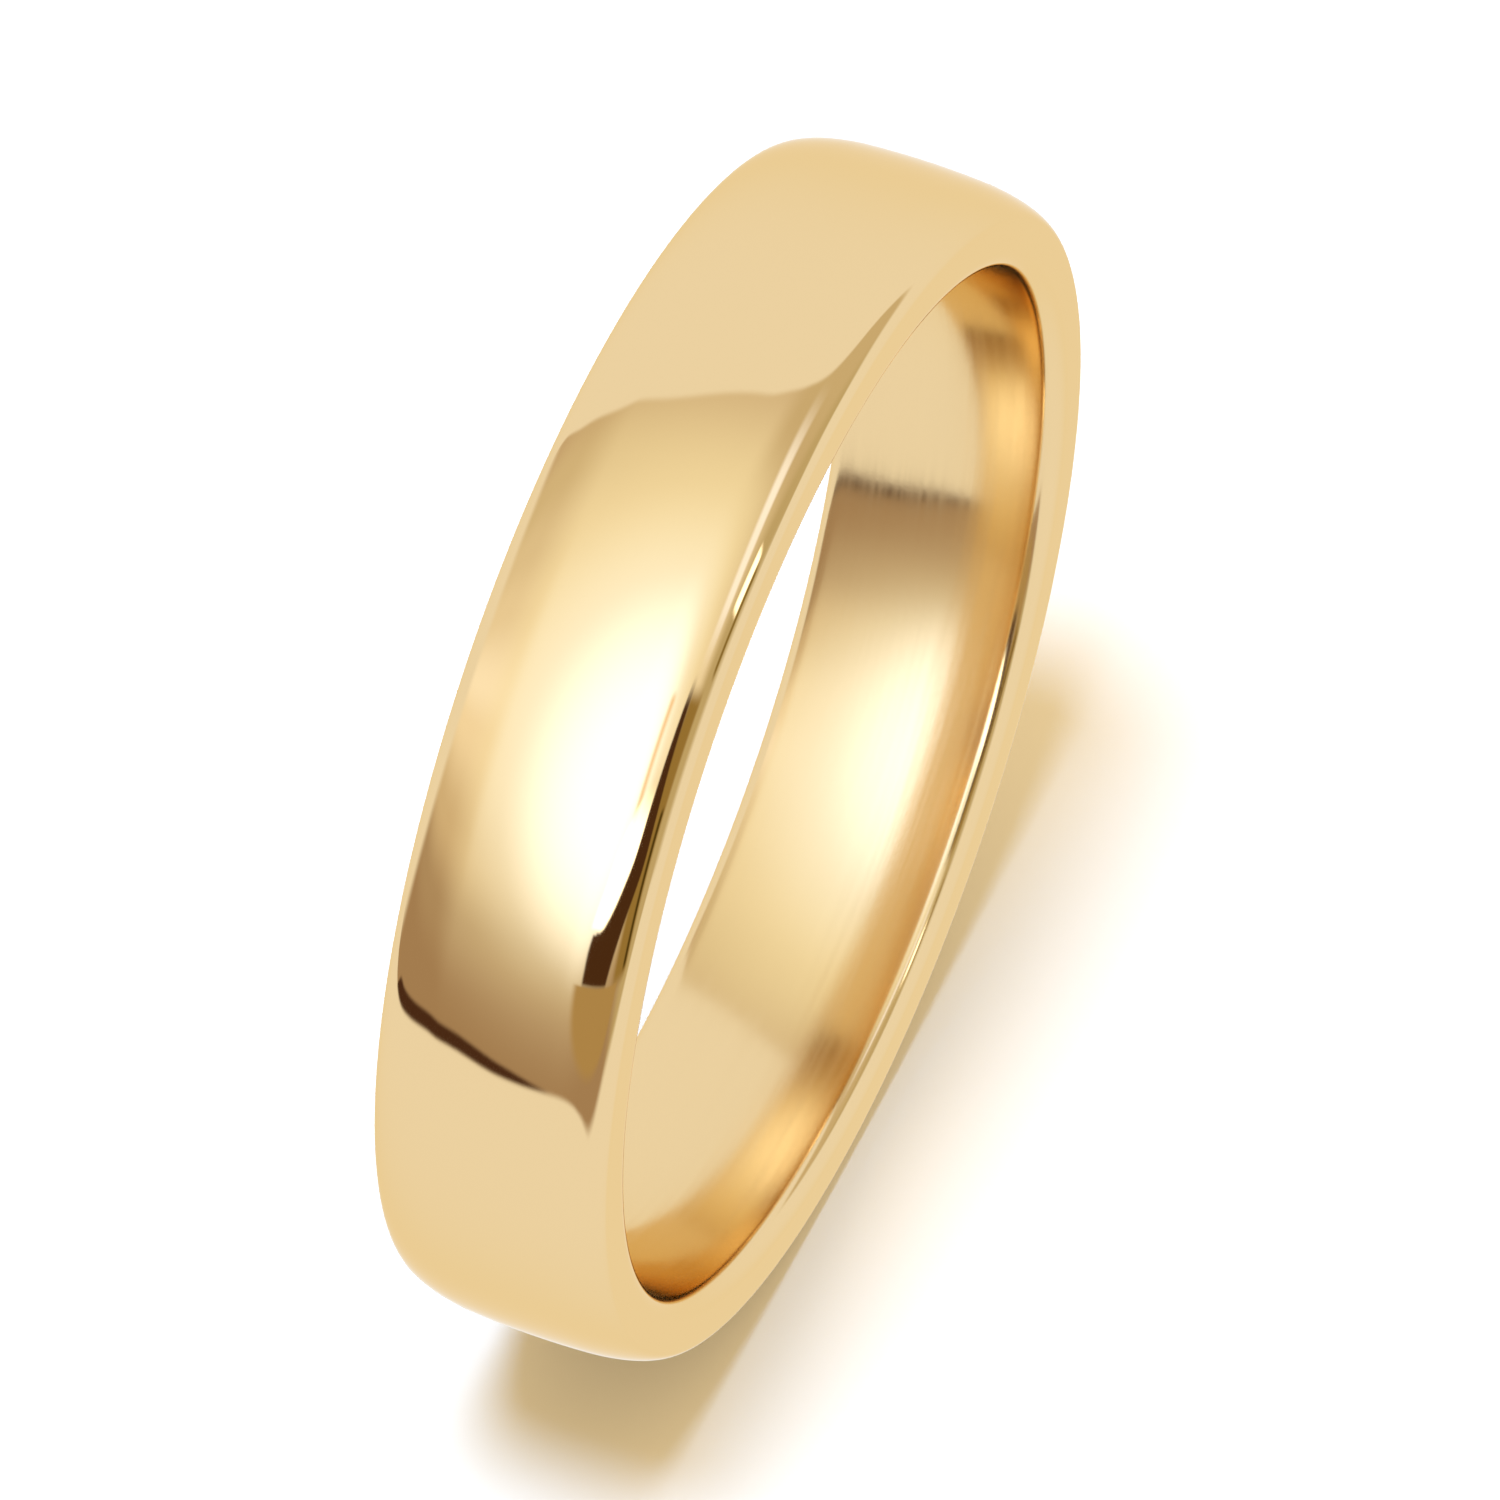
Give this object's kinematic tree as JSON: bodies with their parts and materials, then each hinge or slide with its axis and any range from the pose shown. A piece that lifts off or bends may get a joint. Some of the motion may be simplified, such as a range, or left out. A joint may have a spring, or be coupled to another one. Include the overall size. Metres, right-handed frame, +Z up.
{
  "type": "wedding band",
  "caption": "Plain yellow gold wedding band: flat crown, soft rounded shoulders, flat side faces, and a comfort-fit bore with rounded edges.",
  "frame": {"origin": "centre of the ring, on the finger axis and midway between the two side faces", "axes": "+Y along the finger axis, square to the side faces; +Z up, with the ring standing on its rim as pictured"},
  "size_m": [0.02, 0.004, 0.02],
  "materials": {
    "yellow_gold": "mirror polish outside and on the side faces, softer satin inside the bore"
  },
  "bodies": {
    "root": {"band": "yellow_gold"}
  },
  "joints": []
}
